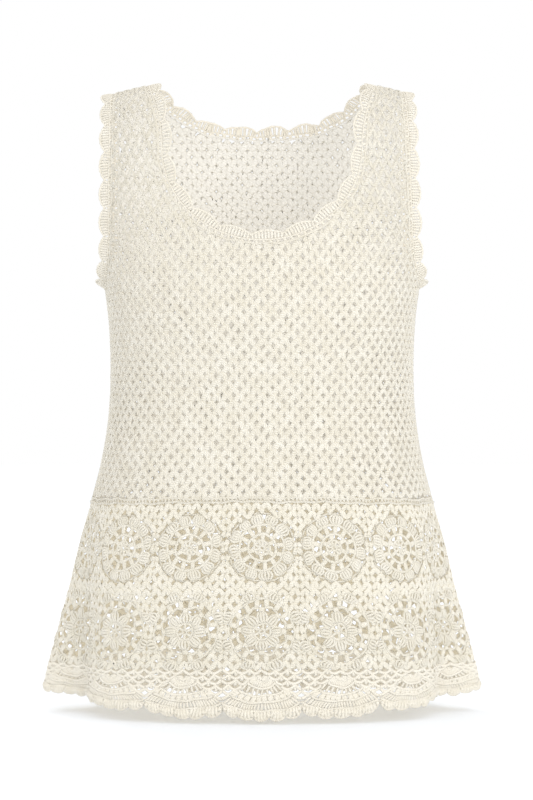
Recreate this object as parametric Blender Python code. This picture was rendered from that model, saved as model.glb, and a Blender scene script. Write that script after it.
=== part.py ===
"""Sleeveless crocheted cotton top, filled out and open at neck, armholes and hem.

Every piece is a closed wall of cloth. A flat pattern piece is cut into triangles, its points are
carried to the body's surface, and the wall stands half its thickness to each side of that surface.
Metres, +Z up, the front faces -Y, and the origin lies midway between the two shoulders.
"""
import math
from collections import namedtuple

import bpy
import numpy as np
from mathutils import Vector
from mathutils.geometry import delaunay_2d_cdt

WALL = 0.0020                 # thickness of the crocheted cloth
SEAM = 0.0004                 # clear gap between neighbouring pieces
EDGING_SEAM = 0.0006          # the same where an edging runs along a panel's curved edge
GIRTH = 0.900                 # flat width that stands for one whole round of the body
SQUARENESS = 0.030            # how much fuller than an ellipse each round is at its corners

SHOULDER_TOP_X = 0.107        # the shoulder line is level up to here and slopes down from here
SHOULDER_SLOPE = 0.235
ROLL_START = -0.075           # above this height the cloth rolls over to the shoulder line
ROLL_LENGTH = 0.100           # cloth from there to the shoulder line

FOLD_SPREAD = math.radians(14.0)    # half width of the side folds, as a turn about the body
FOLD_TROUGH = 1.5                   # how deep the troughs beside a side fold are

NECK_X = 0.117                # neckline on the shoulder, where its edging starts
FRONT_NECK_X = 0.101          # widest place of the front scoop's round lower part
FRONT_NECK_TURN = -0.070      # height where that round part starts
FRONT_NECK_DROP = 0.096       # its depth
BACK_NECK_DROP = 0.047
BACK_NECK_POWER = 3.0

Armhole = namedtuple("Armhole", "chest_x shoulder_x")
ARMHOLES = {1: Armhole(0.1440, 0.1365), -1: Armhole(0.1475, 0.1455)}
ARM_TURN = -0.150             # an armhole is round below this height
UNDERARM = -0.207

NECK_SCALLOPS = 25
ARM_SCALLOPS = 18
SCALLOP_STEPS = 4             # wall segments in one scallop
EDGING_ROOT = 0.0085          # edging width in the dips between its scallops
EDGING_SCALLOP = 0.0055       # how far a scallop stands past the dips
ARM_INTO_HOLE = 0.45          # the armhole's edging leans out: weights of the two directions
ARM_SIDEWAYS = 0.75

COLUMNS = 14                  # round motifs in one row about the body
WAIST = -0.4135
UPPER_CENTRE = -0.4550
MIDDLE = -0.4945
LOWER_CENTRE = -0.5345
EDGING_TOP = -0.5710
HEM = -0.6215
SIDE_DROP = 0.0050            # how much lower these lines lie at the sides
HEM_RISE = 0.0160             # how much higher the hem lies at the sides
HEM_RISE_POWER = 1.2
UPPER_PITCH = 0.0700          # width of a motif in each row
LOWER_PITCH = 0.0720
FAN_SHELLS = 5
SHELL_STEPS = 4
SHELL_DROP = 0.0035
FAN_NOTCH = 0.0080            # how far the hem rises between two fans

ARM_STEPS = 30                # straight stretches in a panel's armhole and in half its neckline
FRONT_NECK_STEPS = 18
BACK_NECK_STEPS = 12
PANEL_GRID = 0.026            # spacing of the points inside a body panel
PANEL_CLEAR = 0.011           # least distance from those points to the outline

YARN_LIGHT = (0.880, 0.835, 0.730, 1.0)
YARN_MOTIF = (0.865, 0.815, 0.700, 1.0)
YARN_EDGING = (0.890, 0.850, 0.750, 1.0)
YARN_ROUGHNESS = 0.90

Section = namedtuple("Section", "height half_width front_depth back_depth side_fold")
SECTIONS = (
    Section(-0.640, 0.190, 0.112, 0.105, 0.032),
    Section(-0.590, 0.187, 0.116, 0.105, 0.029),
    Section(-0.545, 0.184, 0.121, 0.106, 0.020),
    Section(-0.500, 0.180, 0.121, 0.103, 0.012),
    Section(-0.455, 0.175, 0.120, 0.099, 0.006),
    Section(-0.413, 0.167, 0.116, 0.092, 0.002),
    Section(-0.370, 0.158, 0.112, 0.085, 0.000),
    Section(-0.330, 0.152, 0.111, 0.082, 0.000),
    Section(-0.280, 0.150, 0.119, 0.085, 0.000),
    Section(-0.235, 0.152, 0.126, 0.091, 0.000),
    Section(-0.195, 0.157, 0.119, 0.095, 0.000),
    Section(-0.140, 0.163, 0.101, 0.093, 0.000),
    Section(-0.075, 0.166, 0.083, 0.086, 0.000),
)

RingHoles = namedtuple("RingHoles", "count first_turn radius")
UPPER_HOLES = RingHoles(12, 0.0, 0.0180)
LOWER_HOLES = RingHoles(8, math.radians(22.5), 0.0190)
HOLE_INNER = 0.0028           # an arch-shaped hole, from its foot to its tip along the radius
HOLE_SHOULDER = 0.0012
HOLE_TIP = 0.0031
HOLE_FOOT_HALF = 0.0015
HOLE_SHOULDER_HALF = 0.0027

Puffs = namedtuple("Puffs", "count first_turn radius rise")
UPPER_PUFFS = (Puffs(8, 0.0, 0.0250, 0.0010), Puffs(6, 0.0, 0.0095, 0.0006))
LOWER_PUFFS = (Puffs(8, 0.0, 0.0290, 0.0010), Puffs(6, 0.0, 0.0105, 0.0010))


def eased(height, heights, values):
    """Smooth curve through table rows: a cubic between neighbours, with averaged slopes."""
    slopes = np.gradient(values, heights)
    row = np.clip(np.searchsorted(heights, height) - 1, 0, len(heights) - 2)
    step = heights[row + 1] - heights[row]
    part = np.clip((height - heights[row]) / step, 0.0, 1.0)
    keep = 1.0 - part
    start = keep * keep * ((1.0 + 2.0 * part) * values[row] + part * step * slopes[row])
    end = part * part * ((1.0 + 2.0 * keep) * values[row + 1] - keep * step * slopes[row + 1])
    return start + end


def section_sizes(height):
    """Half width, front depth, back depth and side fold of the body's round at a height."""
    table = np.array(SECTIONS)
    return [eased(height, table[:, 0], table[:, column]) for column in range(1, 5)]


def round_point(turn_angle, height):
    """Point of the body's round: a squarish ellipse, with one fold and two troughs at each side."""
    half_width, front_depth, back_depth, side_fold = section_sizes(height)
    depth = np.where(np.abs(turn_angle) < math.pi / 2, front_depth, back_depth)
    fuller = 1.0 - SQUARENESS
    x = half_width * (np.sin(turn_angle) + SQUARENESS * np.sin(3.0 * turn_angle)) / fuller
    y = -depth * (np.cos(turn_angle) - SQUARENESS * np.cos(3.0 * turn_angle)) / fuller
    from_side = (np.abs(turn_angle) - math.pi / 2) / FOLD_SPREAD
    fold = side_fold * (1.0 - FOLD_TROUGH * from_side ** 2) * np.exp(-from_side ** 2)
    return x + fold * np.sin(turn_angle), y - fold * np.cos(turn_angle)


def even_turn_table():
    """Angles that part each half of a round, front or back, into even lengths, height by height."""
    heights = np.linspace(SECTIONS[0].height, ROLL_START, 60)
    turns = np.linspace(-0.5, 0.5, 721)
    angles = np.linspace(-math.pi, math.pi, 1441)
    rows = []
    for height in heights:
        x, y = round_point(angles, np.full(angles.shape, height))
        run = np.concatenate([[0.0], np.cumsum(np.hypot(np.diff(x), np.diff(y)))])
        seams = np.interp([-math.pi, -math.pi / 2, math.pi / 2, math.pi], angles, run)
        share = np.interp(run, seams, [-0.5, -0.25, 0.25, 0.5])
        rows.append(np.interp(turns, share, angles))
    return heights, turns, np.array(rows)


TABLE_HEIGHTS, TABLE_TURNS, TABLE_ANGLES = even_turn_table()


def angle_at(turn, height):
    """Angle about the body at a share of the round, -0.5 to 0.5, read from the even table."""
    row = np.interp(height, TABLE_HEIGHTS, np.arange(len(TABLE_HEIGHTS)))
    column = np.interp(turn, TABLE_TURNS, np.arange(len(TABLE_TURNS)))
    low_row = np.clip(row.astype(int), 0, len(TABLE_HEIGHTS) - 2)
    low_column = np.clip(column.astype(int), 0, len(TABLE_TURNS) - 2)
    up = row - low_row
    over = column - low_column
    low = TABLE_ANGLES[low_row, low_column] * (1 - over) + TABLE_ANGLES[low_row, low_column + 1] * over
    high = TABLE_ANGLES[low_row + 1, low_column] * (1 - over)
    high = high + TABLE_ANGLES[low_row + 1, low_column + 1] * over
    return low * (1 - up) + high * up


def shoulder_height(x):
    """Height of the shoulder line above the neck's side, level and then sloping down."""
    return -SHOULDER_SLOPE * np.maximum(np.abs(x) - SHOULDER_TOP_X, 0.0)


def body_point(across, height):
    """Point of the cloth's middle: across is metres round the flat girth from the front's centre.

    Below ROLL_START height is the real height. Above it, height is measured along the cloth as a
    quarter turn that ends on the shoulder line.
    """
    across = np.asarray(across, dtype=float)
    height = np.asarray(height, dtype=float)
    turn = (across / GIRTH + 0.5) % 1.0 - 0.5
    level = np.minimum(height, ROLL_START)
    x, y = round_point(angle_at(turn, level), level)
    roll = np.maximum(height - ROLL_START, 0.0) / ROLL_LENGTH * math.pi / 2
    z = level + (shoulder_height(x) - ROLL_START) * np.sin(roll)
    return np.stack([x, y * np.cos(roll), z], axis=-1)


def body_frame(across, height):
    """Point of the cloth's middle and the direction that points out of the body there."""
    step = 0.0005
    across = np.asarray(across, dtype=float)
    height = np.asarray(height, dtype=float)
    along = body_point(across + step, height) - body_point(across - step, height)
    upward = body_point(across, height + step) - body_point(across, height - step)
    return body_point(across, height), unit(np.cross(along, upward))


def unit(vectors):
    """Vectors of length one."""
    return vectors / np.linalg.norm(vectors, axis=-1, keepdims=True)


def across_at(x, height, back):
    """Flat distance from the side seam's opposite edge, the panel's centre, to a given width x."""
    shares = np.linspace(0.0, 0.25, 400)
    turns = 0.5 - shares if back else shares
    levels = np.full(shares.shape, min(height, ROLL_START))
    widths, _ = round_point(angle_at(turns, levels), levels)
    return GIRTH * float(np.interp(x, widths, shares))


def height_along(x, z):
    """Height measured along the cloth for a real height z at the width x."""
    if z <= ROLL_START:
        return z
    crest = float(shoulder_height(x)) - ROLL_START
    return ROLL_START + ROLL_LENGTH * math.asin(min((z - ROLL_START) / crest, 1.0)) * 2.0 / math.pi


SHOULDER_LINE = ROLL_START + ROLL_LENGTH


def neck_path(back):
    """Right half of the neckline as flat points, from the shoulder to the panel's centre."""
    points = []
    if back:
        for x in np.linspace(NECK_X, 0.0, 60):
            z = -BACK_NECK_DROP * (1.0 - (x / NECK_X) ** BACK_NECK_POWER)
            points.append((x, z))
    else:
        for share in np.linspace(0.0, 1.0, 24, endpoint=False):
            x = NECK_X + (FRONT_NECK_X - NECK_X) * math.sin(share * math.pi / 2)
            z = shoulder_height(NECK_X) + (FRONT_NECK_TURN - shoulder_height(NECK_X)) * share
            points.append((x, z))
        for share in np.linspace(0.0, 1.0, 48):
            turn = share * math.pi / 2
            x = FRONT_NECK_X * math.cos(turn)
            z = FRONT_NECK_TURN - FRONT_NECK_DROP * math.sin(turn)
            points.append((x, z))
    flat = []
    for x, z in points:
        height = height_along(x, z)
        flat.append((across_at(x, height, back), height))
    flat[0] = (flat[0][0], SHOULDER_LINE)
    return np.array(flat)


def arm_path(back, side):
    """Armhole as flat points of the +X side, from the underarm's seam up to the shoulder."""
    armhole = ARMHOLES[side]
    seam = GIRTH / 4
    turn_across = across_at(armhole.chest_x, ARM_TURN, back)
    flat = []
    for share in np.linspace(0.0, 1.0, 40, endpoint=False):
        turn = share * math.pi / 2
        across = seam - (seam - turn_across) * math.sin(turn)
        flat.append((across, ARM_TURN - (ARM_TURN - UNDERARM) * math.cos(turn)))
    for height in np.linspace(ARM_TURN, SHOULDER_LINE, 50):
        share = (height - ARM_TURN) / (SHOULDER_LINE - ARM_TURN)
        x = armhole.chest_x + (armhole.shoulder_x - armhole.chest_x) * share
        flat.append((across_at(x, height, back), height))
    return np.array(flat)


def evenly(points, count):
    """The same open path with count + 1 points, evenly far apart along it."""
    run = np.concatenate([[0.0], np.cumsum(np.linalg.norm(np.diff(points, axis=0), axis=1))])
    places = np.linspace(0.0, run[-1], count + 1)
    return np.stack([np.interp(places, run, points[:, axis]) for axis in range(points.shape[1])], 1)


def side_share(turn):
    """0 at the front's and back's centres, 1 at the side seams."""
    return np.sin(2.0 * math.pi * turn) ** 2


def place_front(across, height):
    return body_frame(across, height)


def place_back(across, height):
    return body_frame(GIRTH / 2 - np.asarray(across), height)


def inside_loops(points, loops):
    """True where a point lies inside the first loop and outside the others, by counting crossings."""
    crossings = np.zeros(len(points), dtype=int)
    for loop in loops:
        ahead = np.roll(loop, -1, axis=0)
        for (x0, y0), (x1, y1) in zip(loop, ahead):
            spans = (y0 > points[:, 1]) != (y1 > points[:, 1])
            slope = (x1 - x0) / (y1 - y0) if y1 != y0 else 0.0
            crossings += spans & (points[:, 0] < x0 + (points[:, 1] - y0) * slope)
    return crossings % 2 == 1


def flat_triangles(loops, extra):
    """Triangles over a flat piece with holes; loops come first in the numbering, extra points last."""
    points = np.concatenate(list(loops) + ([extra] if len(extra) else []))
    edges = []
    start = 0
    for loop in loops:
        count = len(loop)
        edges += [(start + i, start + (i + 1) % count) for i in range(count)]
        start += count
    scaled = [Vector((x * 1000.0, y * 1000.0)) for x, y in points]
    _, _, faces, origins, _, _ = delaunay_2d_cdt(scaled, edges, [], 0, 1e-6)
    triangles = np.array([[origins[corner][0] for corner in face] for face in faces])
    middles = points[triangles].mean(axis=1)
    return points, triangles[inside_loops(middles, loops)]


def new_object(name, vertices, faces, colour):
    """Object with its own mesh and its own yarn material."""
    mesh = bpy.data.meshes.new(name)
    mesh.from_pydata([tuple(vertex) for vertex in vertices], [], [tuple(face) for face in faces])
    material = bpy.data.materials.new("yarn_" + name)
    material.use_nodes = True
    shader = material.node_tree.nodes["Principled BSDF"]
    shader.inputs["Base Color"].default_value = colour
    shader.inputs["Roughness"].default_value = YARN_ROUGHNESS
    shader.inputs["Metallic"].default_value = 0.0
    mesh.materials.append(material)
    mesh.shade_smooth()
    mesh.set_sharp_from_angle(angle=math.radians(50.0))
    item = bpy.data.objects.new(name, mesh)
    bpy.context.collection.objects.link(item)
    return item


def faces_out(vertices, triangles):
    """The triangles, turned over if together they enclose a negative volume."""
    corners = vertices[triangles]
    volume = np.einsum("ij,ij->i", corners[:, 0], np.cross(corners[:, 1], corners[:, 2])).sum()
    return triangles if volume > 0 else triangles[:, ::-1]


def cloth_wall(name, loops, place, colour, shared=(), raised=(), rises=()):
    """Closed wall over a flat piece: shared points bend both faces, raised ones only the outer."""
    shared = np.array(shared).reshape(-1, 2)
    raised = np.array(raised).reshape(-1, 2)
    flat_outer, outer_faces = flat_triangles(loops, np.concatenate([shared, raised]))
    flat_inner, inner_faces = flat_triangles(loops, shared)
    outer, outward = place(flat_outer[:, 0], flat_outer[:, 1])
    inner, inward = place(flat_inner[:, 0], flat_inner[:, 1])
    lift = np.full(len(outer), WALL / 2)
    if len(raised):
        lift[-len(raised):] += np.array(rises)
    vertices = np.concatenate([outer + outward * lift[:, None], inner - inward * WALL / 2])
    under = len(outer)
    rims = []
    start = 0
    for loop in loops:
        count = len(loop)
        for i in range(count):
            a = start + i
            b = start + (i + 1) % count
            rims += [(b, a, under + a), (b, under + a, under + b)]
        start += count
    outer_faces = wind(flat_outer, outer_faces)
    inner_faces = wind(flat_inner, inner_faces)[:, ::-1] + under
    triangles = np.concatenate([outer_faces, inner_faces, np.array(rims)])
    return new_object(name, vertices, faces_out(vertices, triangles), colour)


def wind(flat, triangles):
    """Triangles with their corners in counter-clockwise order on the flat piece."""
    a, b, c = (flat[triangles[:, i]] for i in range(3))
    area = (b[:, 0] - a[:, 0]) * (c[:, 1] - a[:, 1]) - (b[:, 1] - a[:, 1]) * (c[:, 0] - a[:, 0])
    turned = triangles.copy()
    turned[area < 0] = turned[area < 0][:, ::-1]
    return turned


def counter_clockwise(loop):
    """The loop with its inside on the left."""
    ahead = np.roll(loop, -1, axis=0)
    area = (loop[:, 0] * ahead[:, 1] - loop[:, 1] * ahead[:, 0]).sum()
    return loop if area > 0 else loop[::-1]


def clockwise(loop):
    """The loop with its inside on the right, for a hole."""
    return counter_clockwise(loop)[::-1]


def half_outline(back, side):
    """Outline of a panel's +X half, with one side's armhole, from waist centre to neck centre."""
    half_seam = SEAM / 2
    turns = np.linspace(0.0, 0.25, 15)
    across = turns * GIRTH
    across[-1] -= half_seam
    waist = np.stack([across, WAIST - SIDE_DROP * side_share(turns) + half_seam], 1)
    seam_heights = np.linspace(waist[-1, 1], UNDERARM, 9)[1:-1]
    seam = np.stack([np.full(len(seam_heights), across[-1]), seam_heights], 1)
    arm = evenly(arm_path(back, side), ARM_STEPS)
    arm[0, 0] = across[-1]
    arm[-1, 1] -= half_seam
    neck = evenly(neck_path(back), BACK_NECK_STEPS if back else FRONT_NECK_STEPS)
    neck[0, 1] -= half_seam
    strap = (arm[-1:] + neck[:1]) / 2
    return np.concatenate([waist, seam, arm, strap, neck])


def body_panel(name, back):
    """Net panel from the waist seam to the shoulders, a wall with no holes of its own."""
    plus = half_outline(back, 1)
    minus = half_outline(back, -1)[1:-1][::-1] * (-1.0, 1.0)
    outline = counter_clockwise(np.concatenate([plus, minus]))
    inner = panel_points(outline)
    return cloth_wall(name, [outline], place_back if back else place_front, YARN_LIGHT, shared=inner)


def panel_points(outline):
    """Staggered points inside an outline, clear of its edge."""
    points = []
    row_step = PANEL_GRID * math.sqrt(0.75)
    low, high = outline.min(axis=0), outline.max(axis=0)
    for row, height in enumerate(np.arange(low[1] + row_step, high[1], row_step)):
        shift = PANEL_GRID / 2 if row % 2 else 0.0
        for across in np.arange(0.0, high[0], PANEL_GRID) + shift:
            points.append((across, height))
            if across > 0.0:
                points.append((-across, height))
    points = np.array(points)
    points = points[inside_loops(points, [outline])]
    dense = evenly(np.concatenate([outline, outline[:1]]), 600)
    gaps = np.linalg.norm(points[:, None, :] - dense[None, :, :], axis=2).min(axis=1)
    return points[gaps > PANEL_CLEAR]


def ring_frame(flats):
    """Closed path on the body from flat stretches, each given as (place, points)."""
    points = []
    normals = []
    for place, flat in flats:
        position, normal = place(flat[:, 0], flat[:, 1])
        points.append(position[:-1])
        normals.append(normal[:-1])
    return np.concatenate(points), np.concatenate(normals)


def even_ring(points, normals, count):
    """The closed path with count points, evenly far apart along it."""
    joined = np.concatenate([np.concatenate([points, points[:1]]),
                             np.concatenate([normals, normals[:1]])], axis=1)
    run = np.linalg.norm(np.diff(joined[:, :3], axis=0), axis=1)
    run = np.concatenate([[0.0], np.cumsum(run)])
    places = np.linspace(0.0, run[-1], count, endpoint=False)
    even = np.stack([np.interp(places, run, joined[:, axis]) for axis in range(6)], 1)
    return even[:, :3], unit(even[:, 3:])


def edging_ring(name, points, normals, middle, scallops, flare, colour):
    """Scalloped band along a closed edge: a wall of three rows that starts flat and leans out."""
    base, out = even_ring(points, normals, scallops * SCALLOP_STEPS)
    along = unit(np.roll(base, -1, axis=0) - np.roll(base, 1, axis=0))
    into = unit(np.cross(out, along))
    if np.einsum("ij,ij->i", into, middle - base).sum() < 0:
        into = -into
    phase = np.arange(len(base)) / SCALLOP_STEPS
    width = EDGING_ROOT + EDGING_SCALLOP * np.abs(np.sin(math.pi * phase))
    if flare is None:
        rows = [(base + into * EDGING_SEAM, out), (base + into * width[:, None], out)]
    else:
        leaning = unit(ARM_INTO_HOLE * into + ARM_SIDEWAYS * np.array(flare))
        bend = unit(into + leaning)
        bent_out = matched(np.cross(along, bend), out)
        leaning_out = matched(np.cross(along, leaning), out)
        root = base + into * EDGING_SEAM
        fold = root + bend * EDGING_ROOT * 0.4
        tip = fold + leaning * (width - EDGING_ROOT * 0.4)[:, None]
        rows = [(root, out), (fold, bent_out), (tip, leaning_out)]
    return ring_wall(name, rows, colour)


def matched(vectors, guide):
    """Unit vectors, each turned to the guide's side."""
    vectors = unit(vectors)
    facing = np.sign(np.einsum("ij,ij->i", vectors, guide))
    return vectors * facing[:, None]


def ring_wall(name, rows, colour):
    """Closed wall round a ring from rows of (points, outward directions)."""
    count = len(rows[0][0])
    outer = [points + out * WALL / 2 for points, out in rows]
    inner = [points - out * WALL / 2 for points, out in rows]
    loop = outer + inner[::-1]
    vertices = np.concatenate(loop)
    triangles = []
    for row in range(len(loop)):
        after = (row + 1) % len(loop)
        for i in range(count):
            j = (i + 1) % count
            a, b = row * count + i, row * count + j
            c, d = after * count + i, after * count + j
            triangles += [(a, b, d), (a, d, c)]
    triangles = np.array(triangles)
    return new_object(name, vertices, faces_out(vertices, triangles), colour)


def neck_edging():
    """Scalloped band round the whole neckline, flat on the body's own surface."""
    front, back = neck_path(False), neck_path(True)
    mirror = (-1.0, 1.0)
    stretches = [(place_front, front), (place_front, front[::-1] * mirror),
                 (place_back, back * mirror), (place_back, back[::-1])]
    points, normals = ring_frame(stretches)
    middle = points.mean(axis=0)
    edging_ring("neck_edging", points, normals, middle, NECK_SCALLOPS, None, YARN_EDGING)


def arm_edging(name, side):
    """Scalloped band round one armhole, leaning out sideways like a short frill."""
    mirror = (float(side), 1.0)
    stretches = [(place_front, arm_path(False, side) * mirror),
                 (place_back, arm_path(True, side)[::-1] * mirror)]
    points, normals = ring_frame(stretches)
    middle = points.mean(axis=0)
    edging_ring(name, points, normals, middle, ARM_SCALLOPS, (float(side), 0.0, 0.0), YARN_EDGING)


def band_place(column, pitch):
    """Placing for a band piece: flat points are metres from the column's centre and a level height."""
    def place(offset, level):
        across = GIRTH * (column / COLUMNS + np.asarray(offset) / (COLUMNS * pitch))
        turn = across / GIRTH
        return body_frame(across, level - SIDE_DROP * side_share(turn))
    return place


def fan_place(column, pitch):
    """Placing for a hem fan, whose length shrinks towards the sides, where the hem rises."""
    def place(offset, level):
        across = GIRTH * (column / COLUMNS + np.asarray(offset) / (COLUMNS * pitch))
        share = side_share(across / GIRTH)
        top = EDGING_TOP - SIDE_DROP * share
        bottom = HEM + HEM_RISE * share ** HEM_RISE_POWER
        height = top + (level - EDGING_TOP) * (bottom - top) / (HEM - EDGING_TOP)
        return body_frame(across, height)
    return place


def ring_hole(centre, turn, radius):
    """Arch-shaped hole of a rosette, its foot towards the centre."""
    shape = ((-HOLE_INNER, -HOLE_FOOT_HALF), (HOLE_SHOULDER, -HOLE_SHOULDER_HALF), (HOLE_TIP, 0.0),
             (HOLE_SHOULDER, HOLE_SHOULDER_HALF), (-HOLE_INNER, HOLE_FOOT_HALF))
    points = []
    for outward, sideways in shape:
        reach = radius + outward
        points.append((reach * math.sin(turn) + sideways * math.cos(turn),
                       centre + reach * math.cos(turn) - sideways * math.sin(turn)))
    return clockwise(np.array(points))


def motif(name, column, pitch, top, bottom, centre, holes, puffs):
    """One round motif on its square of cloth, its ring of holes cut through and its puffs raised."""
    half = pitch / 2 - SEAM / 2
    upper = np.linspace(-half, half, 5)
    sides = np.linspace(bottom + SEAM / 2, top - SEAM / 2, 5)[1:-1]
    outline = [(across, bottom + SEAM / 2) for across in upper]
    outline += [(half, height) for height in sides]
    outline += [(across, top - SEAM / 2) for across in upper[::-1]]
    outline += [(-half, height) for height in sides[::-1]]
    loops = [np.array(outline)]
    for i in range(holes.count):
        turn = holes.first_turn + 2.0 * math.pi * i / holes.count
        loops.append(ring_hole(centre, turn, holes.radius))
    raised = []
    rises = []
    for puff in puffs:
        for i in range(puff.count):
            turn = puff.first_turn + 2.0 * math.pi * i / puff.count
            raised.append((puff.radius * math.sin(turn), centre + puff.radius * math.cos(turn)))
            rises.append(puff.rise)
    place = band_place(column, pitch)
    cloth_wall(name, loops, place, YARN_MOTIF, shared=[(0.0, centre)], raised=raised, rises=rises)


def hem_fan(name, column):
    """One fan of the hem's edging: five shells on a round lower edge, a notch at each side."""
    half = LOWER_PITCH / 2 - SEAM / 2
    top = EDGING_TOP - SEAM / 2
    bottom = []
    for i in range(FAN_SHELLS * SHELL_STEPS + 1):
        share = i / (FAN_SHELLS * SHELL_STEPS)
        across = half * (2.0 * share - 1.0)
        arc = FAN_NOTCH * (1.0 - math.sqrt(max(1.0 - (2.0 * share - 1.0) ** 2, 0.0)))
        shell = SHELL_DROP * (1.0 - abs(math.sin(math.pi * i / SHELL_STEPS)))
        bottom.append((across, HEM + arc + shell))
    middle = (top + HEM) / 2
    outline = bottom + [(half, middle)]
    outline += [(across, top) for across in np.linspace(half, -half, 5)]
    outline += [(-half, middle)]
    shared = [(across, middle) for across in (-half / 2, 0.0, half / 2)]
    cloth_wall(name, [np.array(outline)], fan_place(column, LOWER_PITCH), YARN_EDGING, shared=shared)


def clear_scene():
    for item in list(bpy.data.objects):
        bpy.data.objects.remove(item, do_unlink=True)


def main():
    clear_scene()
    body_panel("front_body", back=False)
    body_panel("back_body", back=True)
    neck_edging()
    arm_edging("left_armhole_edging", 1)
    arm_edging("right_armhole_edging", -1)
    for column in range(COLUMNS):
        number = "%02d" % (column + 1)
        motif("upper_motif_" + number, column, UPPER_PITCH, WAIST, MIDDLE, UPPER_CENTRE,
              UPPER_HOLES, UPPER_PUFFS)
        motif("lower_motif_" + number, column, LOWER_PITCH, MIDDLE, EDGING_TOP, LOWER_CENTRE,
              LOWER_HOLES, LOWER_PUFFS)
        hem_fan("hem_fan_" + number, column)


main()
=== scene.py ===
"""Sleeveless top crocheted in cream cotton, filled out with nobody in it, on a pale studio floor.

Every piece is real yarn: strands are drawn in flat coordinates (metres across and up the cloth, and
a lift off it), carried to the body's surface, and given a yarn's profile. Metres, +Z up, the front
faces -Y, and the origin lies midway between the two shoulders.
"""
import math
from collections import namedtuple

import bpy
import numpy as np
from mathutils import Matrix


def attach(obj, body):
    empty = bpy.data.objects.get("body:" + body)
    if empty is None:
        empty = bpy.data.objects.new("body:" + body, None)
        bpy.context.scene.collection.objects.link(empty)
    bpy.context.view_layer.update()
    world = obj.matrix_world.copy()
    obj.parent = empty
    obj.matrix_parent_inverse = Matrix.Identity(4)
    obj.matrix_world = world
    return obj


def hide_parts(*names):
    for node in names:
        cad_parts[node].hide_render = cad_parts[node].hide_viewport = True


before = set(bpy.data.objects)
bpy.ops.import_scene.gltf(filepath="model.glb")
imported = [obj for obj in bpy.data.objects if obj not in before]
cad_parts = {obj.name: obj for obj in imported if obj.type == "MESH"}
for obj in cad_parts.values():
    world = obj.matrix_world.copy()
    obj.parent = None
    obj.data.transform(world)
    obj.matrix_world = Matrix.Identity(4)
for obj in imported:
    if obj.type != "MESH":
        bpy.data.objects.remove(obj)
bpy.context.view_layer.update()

# The body's surface and its outlines, with the same values as the solids.
GIRTH = 0.900                 # way round the body that flat coordinates count in
SQUARENESS = 0.030            # how far the round goes from an ellipse towards a square
SHOULDER_TOP_X = 0.107        # the shoulder line is level up to here, then slopes down
SHOULDER_SLOPE = 0.235
ROLL_START = -0.075           # height where the cloth starts to bend over the shoulder
ROLL_LENGTH = 0.100           # length of that bend along the cloth
SHOULDER_LINE = ROLL_START + ROLL_LENGTH
FOLD_SPREAD = math.radians(14.0)  # width of the fold at each side, as an angle
FOLD_TROUGH = 1.5             # depth of the troughs beside it
NECK_X = 0.117                # half width of the neck at the shoulders
FRONT_NECK_X = 0.101          # widest place of the front scoop's round lower part
FRONT_NECK_TURN = -0.070      # height where that round part starts
FRONT_NECK_DROP = 0.096       # its depth
BACK_NECK_DROP = 0.047
BACK_NECK_POWER = 3.0
Armhole = namedtuple("Armhole", "chest_x shoulder_x")
ARMHOLES = {1: Armhole(0.1440, 0.1365), -1: Armhole(0.1475, 0.1455)}
ARM_TURN = -0.150             # an armhole is round below this height
UNDERARM = -0.207
NECK_SCALLOPS = 25
ARM_SCALLOPS = 18
EDGING_SEAM = 0.0006          # gap between an edging and the edge it is worked on
EDGING_ROOT = 0.0085          # edging width in the dips between its scallops
EDGING_SCALLOP = 0.0055       # how far a scallop stands past the dips
ARM_INTO_HOLE = 0.45          # the armhole's edging leans out: weights of the two directions
ARM_SIDEWAYS = 0.75
COLUMNS = 14                  # round motifs in one row about the body
WAIST = -0.4135
UPPER_CENTRE = -0.4550
MIDDLE = -0.4945
LOWER_CENTRE = -0.5345
EDGING_TOP = -0.5710
HEM = -0.6215
SIDE_DROP = 0.0050            # how much lower these lines lie at the sides
HEM_RISE = 0.0160             # how much higher the hem lies at the sides
HEM_RISE_POWER = 1.2
UPPER_PITCH = 0.0700          # flat width of a motif in each row
LOWER_PITCH = 0.0720
FAN_SHELLS = 5
FAN_NOTCH = 0.0080            # how far the hem rises between two fans

Section = namedtuple("Section", "height half_width front_depth back_depth side_fold")
SECTIONS = (
    Section(-0.640, 0.190, 0.112, 0.105, 0.032),
    Section(-0.590, 0.187, 0.116, 0.105, 0.029),
    Section(-0.545, 0.184, 0.121, 0.106, 0.020),
    Section(-0.500, 0.180, 0.121, 0.103, 0.012),
    Section(-0.455, 0.175, 0.120, 0.099, 0.006),
    Section(-0.413, 0.167, 0.116, 0.092, 0.002),
    Section(-0.370, 0.158, 0.112, 0.085, 0.000),
    Section(-0.330, 0.152, 0.111, 0.082, 0.000),
    Section(-0.280, 0.150, 0.119, 0.085, 0.000),
    Section(-0.235, 0.152, 0.126, 0.091, 0.000),
    Section(-0.195, 0.157, 0.119, 0.095, 0.000),
    Section(-0.140, 0.163, 0.101, 0.093, 0.000),
    Section(-0.075, 0.166, 0.083, 0.086, 0.000),
)

# The yarn of the motifs and edgings: half width and half thickness of one yarn.
YARN_WIDE = 0.00125
YARN_THICK = 0.00062
FRONT_FULLER = 1.10           # how much wider it lies at the front, in motifs and fans
BACK_FULLER = (1.42, 1.32, 1.24)  # and at the back, for wheels, flowers and fans
SIZE_UNEVEN = 0.07            # share by which a yarn's thickness wanders
SEED = 7

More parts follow.
